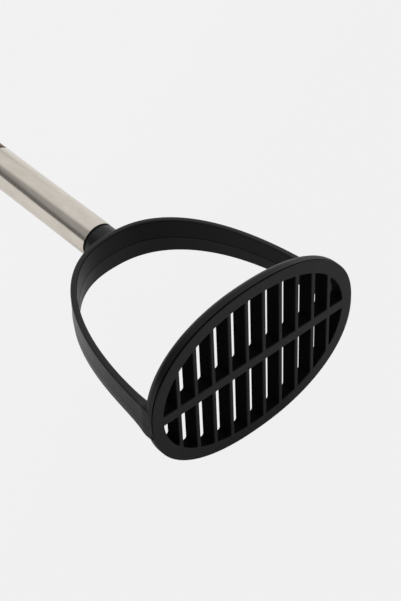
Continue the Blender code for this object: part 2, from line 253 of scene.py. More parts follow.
# Studio: for each light in the sky, its direction, the cosines from that direction at which it
# starts and is full, and its strength. The first one is full everywhere.
SKY_LIGHTS = {
    "all_round": ((0, 0, 1), -3.0, -2.0, 0.17),
    "overhead": ((0, 0, 1), 0.20, 0.45, 0.25),
    "back_right": ((0.50, 0.65, 0.57), 0.55, 0.78, 0.45),
    "low_right": ((0.82, 0.56, -0.05), 0.85, 1.0, 0.3),
}
BACKDROP_COLOR = (0.884, 0.884, 0.884)
FLOOR_ALBEDO = (0.75, 0.75, 0.75)

# The floor's own light rises along a way over the floor, between two places. The camera sees
# mostly the backdrop's colour there instead, in the share FLOOR_GLOW_SEEN.
FLOOR_FILL_WAY = (-0.4, 0.9, 0.0)
FLOOR_FILL_START = -70 * MM
FLOOR_FILL_FULL = 10 * MM
FLOOR_FILL = 0.49
FLOOR_GLOW_SEEN = 0.98
FLOOR_RADIUS = 6.0
FLOOR_GAP = 0.05 * MM


def masher_matrix():
    """Places the masher's own frame in the world, from the mount on its mashing face."""
    mount = frame["record"]["mounts"][0]
    along_handle = -Vector(mount["axis"]).normalized()
    across = Vector((1, 0, 0))
    matrix = Matrix((across, along_handle, across.cross(along_handle))).transposed().to_4x4()
    matrix.translation = Vector(mount["pos_m"])
    return matrix


# ---------------------------------------------------------------- meshes


def finish_piece(name, bm, material, matrix):
    """Turns a bmesh in the masher's frame into a shaded piece in the world."""
    bmesh.ops.recalc_face_normals(bm, faces=bm.faces)
    mesh = bpy.data.meshes.new(name)
    bm.to_mesh(mesh)
    bm.free()
    mesh.transform(matrix)
    mesh.shade_smooth()
    mesh.set_sharp_from_angle(angle=SHARP_ANGLE)
    piece = bpy.data.objects.new(name, mesh)
    bpy.context.scene.collection.objects.link(piece)
    mesh.materials.append(material)
    return piece


def apply_modifiers(piece):
    """Replaces the piece's mesh with what its modifiers make of it."""
    graph = bpy.context.evaluated_depsgraph_get()
    mesh = bpy.data.meshes.new_from_object(piece.evaluated_get(graph))
    piece.modifiers.clear()
    piece.data = mesh


def combine(piece, helper, operation):
    """Joins a helper to a piece, or cuts it from the piece, and removes the helper."""
    modifier = piece.modifiers.new(operation.lower(), "BOOLEAN")
    modifier.operation = operation
    modifier.solver = "EXACT"
    modifier.object = helper
    apply_modifiers(piece)
    bpy.data.objects.remove(helper)


def even_shading(piece):
    """Makes large flat faces set the shading of the small rounded edges beside them."""
    piece.data.set_sharp_from_angle(angle=SHARP_ANGLE)
    modifier = piece.modifiers.new("even_shading", "WEIGHTED_NORMAL")
    modifier.keep_sharp = True
    modifier.weight = FLAT_FACE_WEIGHT


def ring(bm, points, y):
    """A closed loop of vertices at one station along Y."""
    return [bm.verts.new((point.x, y, point.y)) for point in points]


def skin(bm, near, far):
    """Quads between two loops of as many vertices."""
    count = len(near)
    for index in range(count):
        after = (index + 1) % count
        bm.faces.new((near[index], near[after], far[after], far[index]))


def fill_between(bm, loops):
    """Fills the flat region inside the first loop and outside the others."""
    edges = []
    for loop in loops:
        for first, second in zip(loop, loop[1:] + loop[:1]):
            edges.append(bm.edges.get((first, second)))
    bmesh.ops.triangle_fill(bm, use_beauty=True, use_dissolve=False, edges=edges)


def lathe(bm, profile, closed=False):
    """Spins a profile of (y, radius) points about the Y axis."""
    verts = [bm.verts.new((radius, y, 0.0)) for y, radius in profile]
    edges = [bm.edges.new(pair) for pair in zip(verts, verts[1:])]
    if closed:
        edges.append(bm.edges.new((verts[-1], verts[0])))
    bmesh.ops.spin(
        bm,
        geom=verts + edges,
        cent=(0, 0, 0),
        axis=(0, 1, 0),
        angle=FULL_TURN,
        steps=ROUND_STEPS,
        use_merge=True,
    )
    bmesh.ops.remove_doubles(bm, verts=bm.verts, dist=MERGE_DISTANCE)


def quarter_turn(steps):
    """Angles from 0 to a right angle in even steps."""
    return [math.pi / 2 * step / steps for step in range(steps + 1)]


def superellipse(half_x, half_z, power, count):
    """Points (x, z) round a superellipse, counter-clockwise from +X."""
    points = []
    for step in range(count):
        angle = FULL_TURN * step / count
        cosine = math.cos(angle)
        sine = math.sin(angle)
        x = math.copysign(half_x * abs(cosine) ** (2 / power), cosine)
        z = math.copysign(half_z * abs(sine) ** (2 / power), sine)
        points.append(Vector((x, z)))
    return points


def offset_outline(points, distance):
    """A counter-clockwise outline moved outwards by a distance, with mitred corners."""
    moved = []
    for before, point, after in zip(points[-1:] + points[:-1], points, points[1:] + points[:1]):
        into = (point - before).normalized()
        out = (after - point).normalized()
        into_normal = Vector((into.y, -into.x))
        out_normal = Vector((out.y, -out.x))
        reach = distance / (1 + into_normal.dot(out_normal))
        moved.append(point + (into_normal + out_normal) * reach)
    return moved


def round_corner(before, corner, after, radius):
    """The arc that replaces one corner of an outline."""
    into = (before - corner).normalized()
    out = (after - corner).normalized()
    half_angle = into.angle(out) / 2
    middle = (into + out).normalized()
    centre = corner + middle * (radius / math.sin(half_angle))
    start = corner + into * (radius / math.tan(half_angle)) - centre
    end = corner + out * (radius / math.tan(half_angle)) - centre
    sweep = start.angle(end)
    arc = []
    for step in range(ARC_STEPS + 1):
        share = step / ARC_STEPS
        weight = math.sin(sweep * (1 - share)), math.sin(sweep * share)
        arc.append(centre + (start * weight[0] + end * weight[1]) / math.sin(sweep))
    return arc


# ---------------------------------------------------------------- mashing head


def rim_section():
    """The rim's outer side as (y, inset) points: front lip, groove, wall and rounded rear."""
    section = []
    for angle in quarter_turn(ARC_STEPS):
        y = RIM_FRONT_RADIUS * (1 - math.cos(angle))
        section.append((y, RIM_LIP_INSET + RIM_FRONT_RADIUS * (1 - math.sin(angle))))
    insets = (RIM_LIP_INSET, GROOVE_INSET, GROOVE_INSET, 0.0)
    section += list(zip(GROOVE_STATIONS, insets))
    for angle in quarter_turn(REAR_RADIUS_STEPS):
        y = GRATE_DEPTH - RIM_REAR_RADIUS * (1 - math.sin(angle))
        section.append((y, RIM_REAR_RADIUS * (1 - math.cos(angle))))
    return section


def cell_stations():
    """A cell's wall from front to rear, as (y, share of the taper, widening of the cell)."""
    front = []
    rear = []
    for angle in quarter_turn(ARC_STEPS):
        y = FRONT_EDGE_RADIUS * (1 - math.cos(angle))
        front.append((y, y / CELL_THROAT, FRONT_EDGE_RADIUS * (1 - math.sin(angle))))
        y = CELL_THROAT + REAR_EDGE_RADIUS * math.sin(angle)
        rear.append((y, 1.0, REAR_EDGE_RADIUS * (1 - math.cos(angle))))
    return front + rear


def opening_point(inset, angle):
    """The point of the rim's opening at a superellipse angle."""
    x = (GRATE_LENGTH / 2 - inset) * abs(math.cos(angle)) ** (2 / OPENING_POWER)
    z = (GRATE_WIDTH / 2 - inset) * math.sin(angle) ** (2 / OPENING_POWER)
    return Vector((math.copysign(x, math.cos(angle)), z))


def opening_angle(inset, x, foot):
    """The superellipse angle at which the rim's opening reaches x, kept above the rib's foot."""
    reach = min(abs(x) / (GRATE_LENGTH / 2 - inset), 1.0)
    lowest = math.asin((foot / (GRATE_WIDTH / 2 - inset)) ** (OPENING_POWER / 2))
    angle = max(math.acos(reach ** (OPENING_POWER / 2)), lowest)
    return angle if x > 0 else math.pi - angle


def trimmed_angle(inset, corner_angle, far_angle, neighbour, radius):
    """The angle at which the arc that rounds a corner of the rim's opening meets the opening."""
    corner = opening_point(inset, corner_angle)
    near = 0.0
    far = 1.0
    for _ in range(BISECTION_STEPS):
        share = (near + far) / 2
        along = opening_point(inset, corner_angle + (far_angle - corner_angle) * share) - corner
        if along.length < radius / math.tan(along.angle(neighbour - corner) / 2):
            near = share
        else:
            far = share
    return corner_angle + (far_angle - corner_angle) * near


def cell_outline(left, right, taper, widening):
    """An upper cell's outline, at one station of its wall. The last cell has no right side."""
    left += BAR_TAPER * taper - widening
    right -= BAR_TAPER * taper - widening
    foot = RIB_WIDTH / 2 + RIB_TAPER * taper - widening
    inset = RIM_WIDTH + RIM_TAPER * taper - widening
    radius = FRONT_CORNER_RADIUS + (THROAT_CORNER_RADIUS - FRONT_CORNER_RADIUS) * taper + widening
    start = opening_angle(inset, right, foot)
    end = opening_angle(inset, left, foot)
    corners = [Vector((left, foot))]
    if opening_point(inset, start).y > foot + MERGE_DISTANCE:
        corners.append(Vector((right, foot)))
    start_trimmed = trimmed_angle(inset, start, end, corners[-1], radius)
    end_trimmed = trimmed_angle(inset, end, start, corners[0], radius)
    curve = []
    for step in range(CELL_CURVE_POINTS + 1):
        share = step / CELL_CURVE_POINTS
        curve.append(opening_point(inset, start_trimmed + (end_trimmed - start_trimmed) * share))
    around = corners + [opening_point(inset, start)] + curve + [opening_point(inset, end)]
    outline = []
    for index, point in enumerate(around):
        if point in curve[1:-1]:
            outline.append(point)
        elif point not in curve:
            after = around[(index + 1) % len(around)]
            outline += round_corner(around[index - 1], point, after, radius)
    return outline


def cell_sides():
    """The sides of each column of cells at the mashing face, from the middle column to +X."""
    sides = []
    for index in range(BAR_COUNT // 2):
        left = (index - 0.5) * BAR_PITCH + BAR_WIDTH / 2
        right = (index + 0.5) * BAR_PITCH - BAR_WIDTH / 2
        sides.append((left, right))
    last_left = (BAR_COUNT // 2 - 0.5) * BAR_PITCH + BAR_WIDTH / 2
    sides.append((last_left, GRATE_LENGTH))
    return sides


def build_grate():
    """The grate: a rim, a rib and ten bars, with every edge rounded."""
    bm = bmesh.new()
    outline = superellipse(GRATE_LENGTH / 2, GRATE_WIDTH / 2, GRATE_POWER, OUTLINE_POINTS)
    walls = [[ring(bm, offset_outline(outline, -inset), y) for y, inset in rim_section()]]
    for left, right in cell_sides():
        shapes = [(y, cell_outline(left, right, *shape)) for y, *shape in cell_stations()]
        for flip_x in (1, -1) if left > 0 else (1,):
            for flip_z in (1, -1):
                flip = Vector((flip_x, flip_z))
                walls.append(
                    [ring(bm, [point * flip for point in points], y) for y, points in shapes]
                )
    for rings in walls:
        for near, far in zip(rings, rings[1:]):
            skin(bm, near, far)
    fill_between(bm, [rings[0] for rings in walls])
    fill_between(bm, [rings[-1] for rings in walls])
    return bm


def bow_station(angle):
    """A point on the bow's outer curve and the normal there, both in the XY plane."""
    cosine = math.cos(angle)
    sine = math.sin(angle)
    across = math.copysign(abs(cosine) ** (2 / BOW_POWER), cosine)
    along = abs(sine) ** (2 / BOW_POWER)
    point = Vector((BOW_HALF_SPAN * across, BOW_HEIGHT * along, 0))
    slope_x = math.copysign(abs(across) ** (BOW_POWER - 1), cosine) / BOW_HALF_SPAN
    slope_y = along ** (BOW_POWER - 1) / BOW_HEIGHT
    return point, Vector((slope_x, slope_y, 0)).normalized()


def seam(depth, place, outwards):
    """A fine ridge along a face of the strap, as (depth, z) points from the top down."""
    return [
        Vector((depth, place + SEAM_HALF_WIDTH)),
        Vector((depth + outwards * SEAM_HEIGHT, place)),
        Vector((depth, place - SEAM_HALF_WIDTH)),
    ]


def strap_section(point, outward):
    """The strap's section as 3-D points: rounded corners, drafted faces and two seams."""
    share = (point.y / BOW_HEIGHT) ** STRAP_WIDENING_POWER
    past_rim = max(point.y - GRATE_DEPTH, 0.0)
    half = (STRAP_WIDTH_AT_GRATE + (STRAP_WIDTH_AT_COLLAR - STRAP_WIDTH_AT_GRATE) * share) / 2
    beside = math.exp(-past_rim / SIDE_FLARE_LENGTH)
    top = half + UPPER_FLARE * beside
    bottom = -half - LOWER_FLARE * beside
    outer = -OUTER_FLARE * math.exp(-past_rim / OUTER_FLARE_LENGTH)
    inner = STRAP_THICKNESS + INNER_FLARE * math.exp(-past_rim / INNER_FLARE_LENGTH)
    inner_seam = seam(inner, INNER_SEAM_PLACE, 1)
    outer_seam = seam(outer, OUTER_SEAM_PLACE, -1)
    corners = [
        Vector((outer + STRAP_DRAFT, top)),
        Vector((inner - STRAP_DRAFT, top)),
        Vector((inner - STRAP_DRAFT, bottom)),
        Vector((outer + STRAP_DRAFT, bottom)),
    ]
    rounded = []
    neighbours = (
        (outer_seam[0], corners[1]),
        (corners[0], inner_seam[0]),
        (inner_seam[2], corners[3]),
        (corners[2], outer_seam[2]),
    )
    for corner, (before, after) in zip(corners, neighbours):
        rounded.append(round_corner(before, corner, after, STRAP_CORNER_RADIUS))
    section = rounded[0] + rounded[1] + inner_seam + rounded[2] + rounded[3] + outer_seam[::-1]
    return [point - outward * depth + Vector((0, 0, z)) for depth, z in section]


def build_bow():
    """The strap from inside one end of the grate, round the bow, to inside the other."""
    bm = bmesh.new()
    first = math.asin((STRAP_ROOT / BOW_HEIGHT) ** (BOW_POWER / 2))
    loops = []
    for step in range(BOW_STATIONS + 1):
        angle = first + (math.pi - 2 * first) * step / BOW_STATIONS
        section = strap_section(*bow_station(angle))
        loops.append([bm.verts.new(point) for point in section])
    for near, far in zip(loops, loops[1:]):
        skin(bm, near, far)
    bm.faces.new(loops[0])
    bm.faces.new(loops[-1])
    return bm


def build_collar():
    """The round end of the head, with its spigot and the blind bore for the insert."""
    profile = [(COLLAR_START, 0.0), (COLLAR_START, COLLAR_RADIUS + COLLAR_FILLET / 2)]
    for angle in quarter_turn(ARC_STEPS):
        y = BOW_HEIGHT - COLLAR_FILLET / 2 + COLLAR_FILLET * math.sin(angle)
        profile.append((y, COLLAR_RADIUS + COLLAR_FILLET / 2 * (1 - math.sin(angle))))
    for angle in quarter_turn(ARC_STEPS):
        y = COLLAR_END - EDGE_RADIUS * (1 - math.sin(angle))
        profile.append((y, COLLAR_RADIUS - EDGE_RADIUS * (1 - math.cos(angle))))
    profile += [
        (COLLAR_END, SPIGOT_RADIUS),
        (SPIGOT_END - EDGE_RADIUS, SPIGOT_RADIUS),
        (SPIGOT_END, SPIGOT_RADIUS - EDGE_RADIUS),
        (SPIGOT_END, SPIGOT_BORE_RADIUS),
        (SPIGOT_END - SPIGOT_BORE_DEPTH, SPIGOT_BORE_RADIUS),
        (SPIGOT_END - SPIGOT_BORE_DEPTH, 0.0),
    ]
    bm = bmesh.new()
    lathe(bm, profile)
    return bm


def make_head(matrix, material):
    """The whole nylon moulding, in place of the frame's plain one."""
    head = finish_piece("nylon_head", build_grate(), material, matrix)
    bow = finish_piece("bow_shape", build_bow(), material, matrix)
    collar = finish_piece("collar_shape", build_collar(), material, matrix)
    combine(head, bow, "UNION")
    combine(head, collar, "UNION")
    even_shading(head)
    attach(head, "root")
    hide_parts("mashing_head")


# ---------------------------------------------------------------- handle


def rounded_ring(start, end, inner, outer, radius):
    """The section of a ring whose two outer edges are rounded, as (y, radius) points."""
    profile = [(start, inner)]
    for angle in quarter_turn(ARC_STEPS):
        y = start + radius * (1 - math.cos(angle))
        profile.append((y, outer - radius * (1 - math.sin(angle))))
    for angle in quarter_turn(ARC_STEPS):
        y = end - radius * (1 - math.sin(angle))
        profile.append((y, outer - radius * (1 - math.cos(angle))))
    profile.append((end, inner))
    return profile


def make_ring_piece(name, node, section, matrix, material):
    """A turned ring in place of one of the frame's nodes."""
    bm = bmesh.new()
    lathe(bm, section, closed=True)
    piece = finish_piece(name, bm, material, matrix)
    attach(piece, "root")
    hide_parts(node)


def make_seal(name, node, start, matrix, material):
    """A thin washer with softly rounded edges."""
    inner = SPIGOT_RADIUS + TOUCH_GAP
    end = start + SEAL_THICKNESS
    section = rounded_ring(start, end, inner, SEAL_RADIUS, SEAL_EDGE_RADIUS)
    make_ring_piece(name, node, section, matrix, material)


def grip_radius(distance):
    """The turned grip's radius at a distance from its shoulder."""
    place = distance / GRIP_LENGTH
    if place < GRIP_PALM_PLACE:
        swell = math.sin(math.pi / 2 * place / GRIP_PALM_PLACE) ** 2
        radius = GRIP_SHOULDER_RADIUS + (GRIP_PALM_RADIUS - GRIP_SHOULDER_RADIUS) * swell
    else:
        fall = (place - GRIP_PALM_PLACE) / (1 - GRIP_PALM_PLACE)
        radius = GRIP_PALM_RADIUS - (GRIP_PALM_RADIUS - GRIP_TAIL_RADIUS) * fall**2
    into_end = distance - (GRIP_LENGTH - GRIP_END_ROUNDING)
    if into_end > 0:
        radius *= math.sqrt(max(1 - (into_end / GRIP_END_ROUNDING) ** 2, 0.0))
    return radius


def grip_profile():
    """The whole grip as (y, radius) points: the bore, the tenon, the body and its rounded end."""
    profile = [
        (TENON_START + GRIP_BORE_DEPTH, 0.0),
        (TENON_START + GRIP_BORE_DEPTH, GRIP_BORE_RADIUS),
        (TENON_START, GRIP_BORE_RADIUS),
        (TENON_START, TENON_RADIUS - EDGE_RADIUS),
        (TENON_START + EDGE_RADIUS, TENON_RADIUS),
        (GRIP_START, TENON_RADIUS),
    ]
    for angle in quarter_turn(ARC_STEPS)[1:]:
        distance = EDGE_RADIUS * (1 - math.cos(angle))
        eased = EDGE_RADIUS * (1 - math.sin(angle))
        profile.append((GRIP_START + distance, grip_radius(distance) - eased))
    straight = GRIP_LENGTH - GRIP_END_ROUNDING
    for step in range(1, GRIP_STATIONS):
        distance = EDGE_RADIUS + (straight - EDGE_RADIUS) * step / GRIP_STATIONS
        profile.append((GRIP_START + distance, grip_radius(distance)))
    for angle in quarter_turn(GRIP_END_STEPS):
        distance = straight + GRIP_END_ROUNDING * math.sin(angle)
        profile.append((GRIP_START + distance, grip_radius(distance)))
    return profile


def hanging_hole_profile():
    """The cutter for the hanging hole as (along, radius) points: it opens out at both ends."""
    surface = grip_radius(GRIP_LENGTH - HANGING_HOLE_FROM_END)
    straight = math.sqrt(surface**2 - HANGING_HOLE_RADIUS**2) - HOLE_EDGE_SINK
    end = []
    for step in range(ARC_STEPS + 1):
        angle = HOLE_EDGE_TURN * step / ARC_STEPS
        radius = HANGING_HOLE_RADIUS + HOLE_EDGE_RADIUS * (1 - math.cos(angle))
        end.append((straight + HOLE_EDGE_RADIUS * math.sin(angle), radius))
    along, radius = end[-1]
    along += HOLE_EDGE_RADIUS
    end.append((along, radius + HOLE_EDGE_RADIUS * math.tan(HOLE_EDGE_TURN)))
    end.append((along, 0.0))
    return [(-along, radius) for along, radius in reversed(end)] + end


def make_grip(matrix, material):
    """The turned wooden grip, with an eased hole to hang it by."""
    bm = bmesh.new()
    lathe(bm, grip_profile())
    grip = finish_piece("acacia_grip", bm, material, matrix)
    hole = bmesh.new()
    lathe(hole, hanging_hole_profile())
    place = Matrix.Translation((0, GRIP_END - HANGING_HOLE_FROM_END, 0))
    upright = Matrix.Rotation(math.pi / 2, 4, "X")
    bmesh.ops.transform(hole, matrix=place @ upright, verts=hole.verts)
    combine(grip, finish_piece("hole_shape", hole, material, matrix), "DIFFERENCE")
    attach(grip, "root")
    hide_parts("wooden_grip")


# ---------------------------------------------------------------- materials


def add_node(tree, kind, inputs=None, **settings):
    """Adds a shader node. Each input is a plain value, or an output of another node."""
    made = tree.nodes.new(kind)
    for name, value in settings.items():
        setattr(made, name, value)
    for name, value in (inputs or {}).items():
        if isinstance(value, bpy.types.NodeSocket):
            tree.links.new(value, made.inputs[name])
        else:
            made.inputs[name].default_value = value
    return made


def new_material(name, roughness, metallic=0.0, specular=0.5):
    """A new material with plain numbers, to which noise may be linked, its tree and its shader."""
    material = bpy.data.materials.new(name)
    material.use_nodes = True
    shader = material.node_tree.nodes["Principled BSDF"]
    shader.inputs["Roughness"].default_value = roughness
    shader.inputs["Metallic"].default_value = metallic
    shader.inputs["Specular IOR Level"].default_value = specular
    return material, material.node_tree, shader


def masher_place(tree, matrix):
    """The shaded point in the masher's own frame, in metres."""
    place = add_node(tree, "ShaderNodeTexCoord")
    return add_node(
        tree,
        "ShaderNodeMapping",
        {
            "Vector": place.outputs["Object"],
            "Location": matrix.translation,
            "Rotation": matrix.to_euler(),
        },
        vector_type="TEXTURE",
    ).outputs["Vector"]


def vector_node(tree, operation, first, second):
    """One operation on two vectors."""
    return add_node(tree, "ShaderNodeVectorMath", {0: first, 1: second}, operation=operation)


def math_node(tree, operation, first, second=0.0, third=0.0):
    """One operation on two or three values."""
    inputs = {0: first, 1: second, 2: third}
    return add_node(tree, "ShaderNodeMath", inputs, operation=operation).outputs["Value"]


def noise(tree, place, size, detail=3.0, distortion=0.0):
    """Noise from 0 to 1. Its size is the length of one feature along X, Y and Z."""
    stretch = [1 / length for length in size]
    scaled = vector_node(tree, "MULTIPLY", place, stretch)
    return add_node(
        tree,
        "ShaderNodeTexNoise",
        {
            "Vector": scaled.outputs["Vector"],
            "Scale": 1.0,
            "Detail": detail,
            "Distortion": distortion,
        },
    ).outputs["Fac"]


def spread(tree, value, low, high, new_low, new_high, **settings):
    """The value with low..high stretched to new_low..new_high, and held at both ends."""
    return add_node(
        tree,
        "ShaderNodeMapRange",
        {
            "Value": value,
            "From Min": low,
            "From Max": high,
            "To Min": new_low,
            "To Max": new_high,
        },
        **settings,
    ).outputs["Result"]


def blend_colors(tree, share, first, second):
    """The first colour where the share is 0, the second where it is 1."""
    ramp = add_node(tree, "ShaderNodeValToRGB", {"Fac": share})
    ramp.color_ramp.elements[0].color = (*first, 1.0)
    ramp.color_ramp.elements[1].color = (*second, 1.0)
    return ramp.outputs["Color"]


def separated(tree, place):
    """The coordinates of a place, by axis."""
    return add_node(tree, "ShaderNodeSeparateXYZ", {"Vector": place}).outputs


def add_bump(tree, shader, height, relief):
    """Raises the surface by the relief where the height is 1, over any earlier bump."""
    inputs = {"Height": height, "Distance": relief, "Strength": 1.0}
    if shader.inputs["Normal"].is_linked:
        inputs["Normal"] = shader.inputs["Normal"].links[0].from_socket
    bump = add_node(tree, "ShaderNodeBump", inputs)
    tree.links.new(bump.outputs["Normal"], shader.inputs["Normal"])


def shaded_grate_walls(tree, place):
    """Two shares where painted shade goes: 1 on the walls of the cells, and 1 on the outer wall of
    the rim.
    """
    parts = separated(tree, place)
    reaches = []
    for axis, length in (("X", GRATE_LENGTH), ("Z", GRATE_WIDTH)):
        half = length / 2 - RIM_WIDTH + CELL_SHADE_ZONE_MARGIN
        share = math_node(tree, "DIVIDE", math_node(tree, "ABSOLUTE", parts[axis]), half)
        reaches.append(math_node(tree, "POWER", share, OPENING_POWER))
    reach = math_node(tree, "ADD", *reaches)
    in_opening = spread(tree, reach, *CELL_SHADE_ZONE_RANGE, 1.0, 0.0)
    behind_face = spread(tree, parts["Y"], *WALL_SHADE_ZONE_RANGE, 0.0, 1.0)
    before_bow = spread(tree, parts["Y"], GRATE_DEPTH, GRATE_DEPTH + REAR_EDGE_RADIUS, 1.0, 0.0)
    walls = math_node(tree, "MULTIPLY", behind_face, before_bow)
    cells = math_node(tree, "MULTIPLY", walls, in_opening)
    return cells, math_node(tree, "SUBTRACT", walls, cells)


def painted_bow_shading(tree, place):
    """Painted shade and light on the bow, as a multiplier on the grate's shine: painted shade
    above its inner seam's height, a painted dark line along that height, and painted light below
    it.
    """
    parts = separated(tree, place)
    above = math_node(tree, "SUBTRACT", parts["Z"], INNER_SEAM_PLACE)
    half_shading = spread(
        tree, above, -SEAM_HALF_WIDTH, SEAM_HALF_WIDTH, LOWER_HALF_LIGHT_SHINE, UPPER_HALF_SHADE_SHINE
    )
    distance = math_node(tree, "ABSOLUTE", above)
    seam_shade = spread(tree, distance, *SEAM_SHADE_ZONE_RANGE, SEAM_SHADE_SHINE, 1.0)
    both = math_node(tree, "SUBTRACT", math_node(tree, "MULTIPLY", half_shading, seam_shade), 1.0)
    on_bow = spread(tree, parts["Y"], *BOW_SHADING_ZONE_RANGE, 0.0, 1.0)
    return math_node(tree, "ADD", math_node(tree, "MULTIPLY", both, on_bow), 1.0)


def nylon_material(matrix):
    """Black moulded nylon: a fine matt grain, slightly uneven gloss and faint wiping marks, with
    shade painted in as less shine in the cells, on the rim wall and over the bow above its inner
    seam's height, a painted dark line at that height, and painted light as more shine below it.
    """
    material, tree, shader = new_material("moulded_nylon", 0.5, specular=NYLON_SPECULAR)
    place = masher_place(tree, matrix)
    cloud = noise(tree, place, NYLON_CLOUD_SIZE, detail=4.0)
    grain = noise(tree, place, NYLON_GRAIN_SIZE, detail=2.0)
    wiping = noise(tree, place, WIPING_SIZE, detail=3.0, distortion=WIPING_SWIRL)
    color = blend_colors(tree, cloud, NYLON_DARK, NYLON_LIGHT)
    tree.links.new(color, shader.inputs["Base Color"])
    cells, shaded_rim_wall = shaded_grate_walls(tree, place)
    uneven = spread(tree, cloud, *MOST_OF_NOISE, *NYLON_ROUGHNESS)
    wiped = spread(tree, wiping, *WIPING_RANGE, 0.0, WIPING_GLOSS)
    roughness = math_node(tree, "SUBTRACT", uneven, wiped)
    rougher = math_node(tree, "MULTIPLY", cells, CELL_ADDED_ROUGHNESS)
    roughness = math_node(tree, "ADD", roughness, rougher)
    tree.links.new(roughness, shader.inputs["Roughness"])
    # Painted shade: the cell walls get far less shine.
    shine = spread(tree, cells, 0.0, 1.0, NYLON_SPECULAR, SHADED_CELL_SPECULAR)
    # Painted shade and light on the bow: less shine above the inner seam's height, least along it,
    # more below it.
    shine = math_node(tree, "MULTIPLY", shine, painted_bow_shading(tree, place))
    # Painted shade: the rim's outer wall gets less shine.
    rim_wall_shade = spread(tree, shaded_rim_wall, 0.0, 1.0, 1.0, RIM_WALL_SHADE_SHINE)
    shine = math_node(tree, "MULTIPLY", shine, rim_wall_shade)
    tree.links.new(shine, shader.inputs["Specular IOR Level"])
    add_bump(tree, shader, wiping, WIPING_RELIEF)
    add_bump(tree, shader, grain, NYLON_GRAIN_RELIEF)
    return material


def steel_material(matrix):
    """Satin steel, drawn lengthwise: fine streaks along the tube over faint soft blotches."""
    material, tree, shader = new_material("brushed_steel", 0.16, metallic=1.0)
    place = masher_place(tree, matrix)
    streaks = noise(tree, place, STREAK_SIZE, detail=3.0)
    blotches = noise(tree, place, BLOTCH_SIZE, detail=4.0, distortion=BLOTCH_SWIRL)
    blotch_tint = spread(tree, blotches, *MOST_OF_NOISE, 0.0, BLOTCH_TINT)
    streak_tint = spread(tree, streaks, *MOST_OF_NOISE, 0.0, STREAK_TINT)
    tint = math_node(tree, "ADD", blotch_tint, streak_tint)
    color = blend_colors(tree, tint, STEEL_DARK, STEEL_LIGHT)
    tree.links.new(color, shader.inputs["Base Color"])
    roughness = spread(tree, streaks, *MOST_OF_NOISE, *STEEL_ROUGHNESS)
    tree.links.new(roughness, shader.inputs["Roughness"])
    add_bump(tree, shader, blotches, BLOTCH_RELIEF)
    add_bump(tree, shader, streaks, STREAK_RELIEF)
    return material


def rubber_material(matrix):
    """Soft black seal rubber with a dusty bloom."""
    material, tree, shader = new_material("seal_rubber", 0.8, specular=0.3)
    place = masher_place(tree, matrix)
    bloom = noise(tree, place, BLOOM_SIZE, detail=4.0)
    color = blend_colors(tree, bloom, RUBBER_DARK, RUBBER_LIGHT)
    tree.links.new(color, shader.inputs["Base Color"])
    roughness = spread(tree, bloom, *MOST_OF_NOISE, *RUBBER_ROUGHNESS)
    tree.links.new(roughness, shader.inputs["Roughness"])
    add_bump(tree, shader, bloom, BLOOM_RELIEF)
    return material


def wood_material(matrix):
    """Oiled acacia: wandering growth bands, long fibres and short dark pores, all lengthwise."""
    material, tree, shader = new_material("oiled_acacia", 0.5, specular=0.4)
    place = masher_place(tree, matrix)
    wander = noise(tree, place, BAND_SWAY_SIZE, detail=2.0)
    fibres = noise(tree, place, FIBRE_SIZE, detail=4.0)
    pores = noise(tree, place, PORE_SIZE, detail=1.0)
    swayed = math_node(tree, "MULTIPLY_ADD", wander, BAND_SWAY, separated(tree, place)["X"])
    bands = math_node(tree, "PINGPONG", swayed, BAND_WIDTH)
    band_tint = spread(tree, bands, 0.0, BAND_WIDTH, 0.0, BAND_TINT)
    fibre_tint = spread(tree, fibres, *FIBRE_RANGE, 0.0, FIBRE_TINT)
    tone = math_node(tree, "ADD", fibre_tint, band_tint)
    solid = blend_colors(tree, tone, WOOD_DARK, WOOD_LIGHT)
    pore_depth = spread(tree, pores, *PORE_RANGE, 1.0, 0.0)
    pore_tint = spread(tree, pore_depth, 0.0, 1.0, 0.0, PORE_TINT)
    color = add_node(
        tree,
        "ShaderNodeMix",
        {"Factor": pore_tint, "A": solid, "B": (*PORE_COLOR, 1.0)},
        data_type="RGBA",
    )
    tree.links.new(color.outputs["Result"], shader.inputs["Base Color"])
    roughness = spread(tree, fibres, *MOST_OF_NOISE, *WOOD_ROUGHNESS)
    tree.links.new(roughness, shader.inputs["Roughness"])
    add_bump(tree, shader, fibres, FIBRE_RELIEF)
    add_bump(tree, shader, spread(tree, pore_depth, 0.0, 1.0, 1.0, 0.0), PORE_RELIEF)
    return material


def turned_material(name, matrix, dark, light):
    """Metal with fine turning marks round its axis."""
    material, tree, shader = new_material(name, 0.3, metallic=1.0)
    place = masher_place(tree, matrix)
    marks = noise(tree, place, TURNING_SIZE, detail=2.0)
    tarnish = noise(tree, place, TARNISH_SIZE, detail=4.0)
    color = blend_colors(tree, tarnish, dark, light)
    tree.links.new(color, shader.inputs["Base Color"])
    roughness = spread(tree, tarnish, *MOST_OF_NOISE, *TURNED_ROUGHNESS)
    tree.links.new(roughness, shader.inputs["Roughness"])
    add_bump(tree, shader, marks, TURNING_RELIEF)
    return material


def finish_inner_nodes(matrix):
    """Gives the frame's own inner pieces their finish. They keep the frame's shape."""
    brass = turned_material("turned_brass", matrix, BRASS_DARK, BRASS_LIGHT)
    rod = turned_material("drawn_rod", matrix, ROD_DARK, ROD_LIGHT)
    for node, material in (("spigot_insert", brass), ("grip_insert", brass), ("tie_rod", rod)):
        for material_slot in frame["nodes"][node].material_slots:
            material_slot.material = material


# ---------------------------------------------------------------- studio


